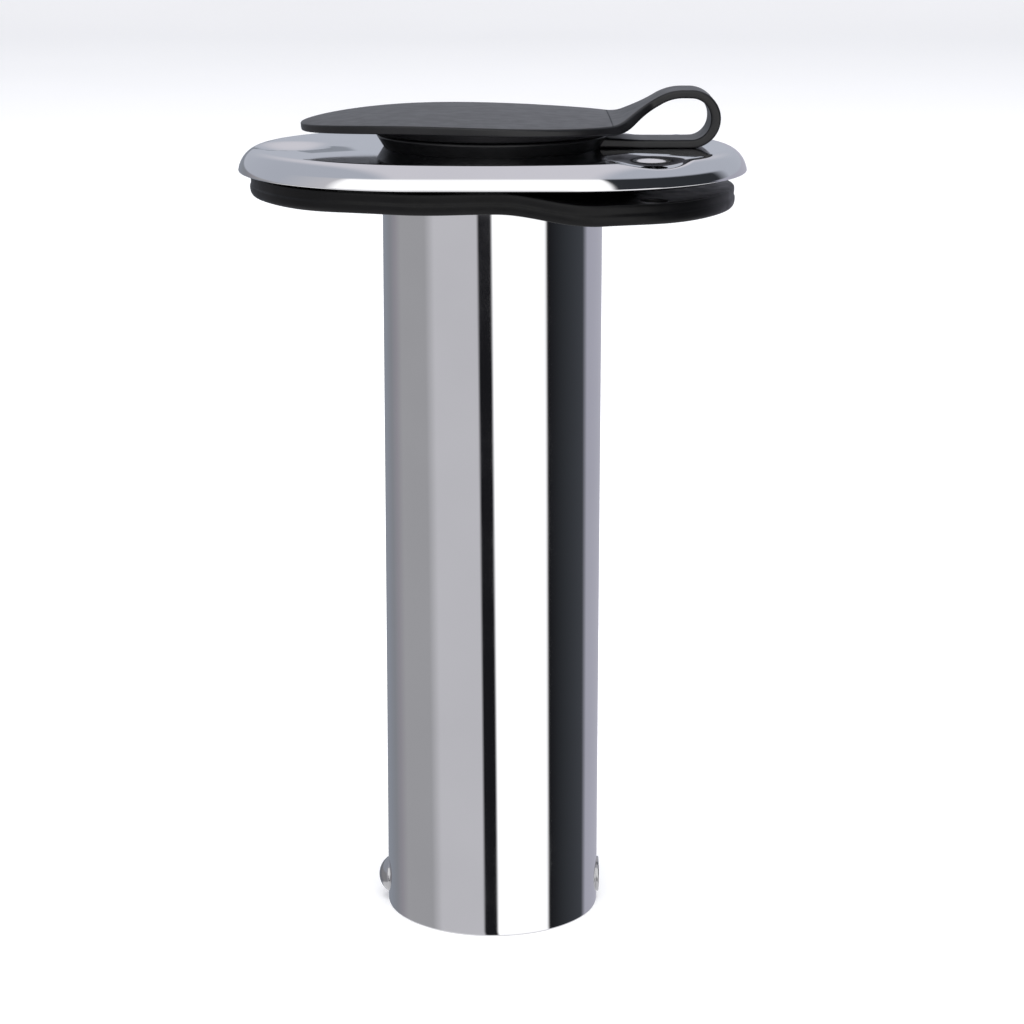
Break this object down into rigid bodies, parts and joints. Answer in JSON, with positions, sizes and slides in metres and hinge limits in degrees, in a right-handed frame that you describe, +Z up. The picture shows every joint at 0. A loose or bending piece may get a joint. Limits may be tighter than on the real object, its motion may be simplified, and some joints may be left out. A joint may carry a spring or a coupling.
{
  "type": "rod holder",
  "caption": "Straight flush-mount rod holder: polished steel tube welded to an oval flange, with gasket, liner, cross pin and a tethered rubber cap.",
  "frame": {"origin": "on the tube's axis, in the plane of the deck that the gasket's underside rests on", "axes": "+Z up out of the mouth along the tube, +X from the tube towards the cap's strap, +Y across the flange"},
  "size_m": [0.117, 0.085, 0.1972],
  "materials": {
    "polished_stainless": "mirror-polished stainless steel",
    "weld_metal": "cleaned weld bead",
    "gasket_rubber": "smooth moulded black rubber",
    "cap_rubber": "satin moulded black rubber",
    "liner_plastic": "black vinyl sleeve"
  },
  "bodies": {
    "holder": {"tube": "polished_stainless", "flange": "polished_stainless", "weld_bead": "weld_metal", "gasket": "gasket_rubber", "rod_liner": "liner_plastic", "collar_ring": "cap_rubber", "cap_strap": "cap_rubber", "gimbal_pin": "polished_stainless"},
    "cap": {"cap": "cap_rubber"}
  },
  "joints": [
    {"name": "cap_swing", "type": "hinge", "parent": "holder", "child": "cap", "pos_m": [0.0545, 0, 0.0135], "axis": [0, 1, 0], "range_deg": [0, 170], "deforming": ["cap_strap"]}
  ]
}
